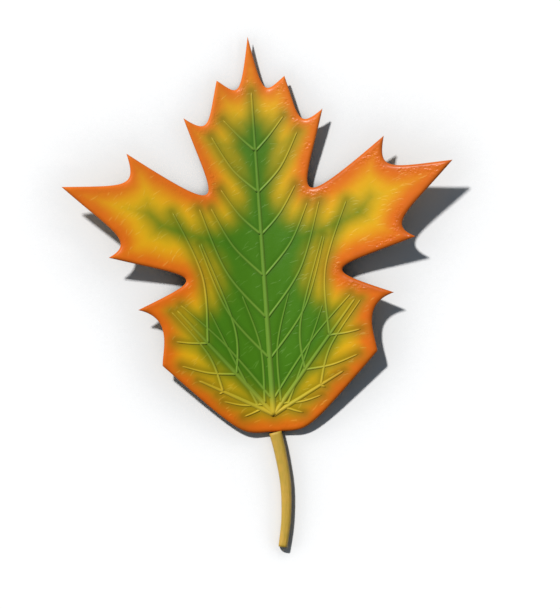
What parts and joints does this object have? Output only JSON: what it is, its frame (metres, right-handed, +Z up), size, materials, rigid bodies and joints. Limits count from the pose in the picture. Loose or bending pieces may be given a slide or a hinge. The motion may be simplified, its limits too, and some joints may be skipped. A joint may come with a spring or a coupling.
{
  "type": "maple leaf",
  "caption": "Fallen maple leaf in autumn colours, lying face up, with a toothed lobed blade, raised veins and a bowed stalk.",
  "frame": {"origin": "on the resting plane, under the point where the main ribs meet at the base of the blade", "axes": "+Y along the midrib towards the tip, +X to the right seen from above, +Z up out of the face of the blade"},
  "size_m": [0.1104, 0.1449, 0.0111],
  "materials": {
    "blade_tissue": "waxy leaf skin, green at the midrib through yellow to orange at the margin",
    "stalk_tissue": "matte tan leaf stalk with fine lengthwise grain"
  },
  "bodies": {
    "root": {"blade": "blade_tissue", "petiole": "stalk_tissue"}
  },
  "joints": []
}
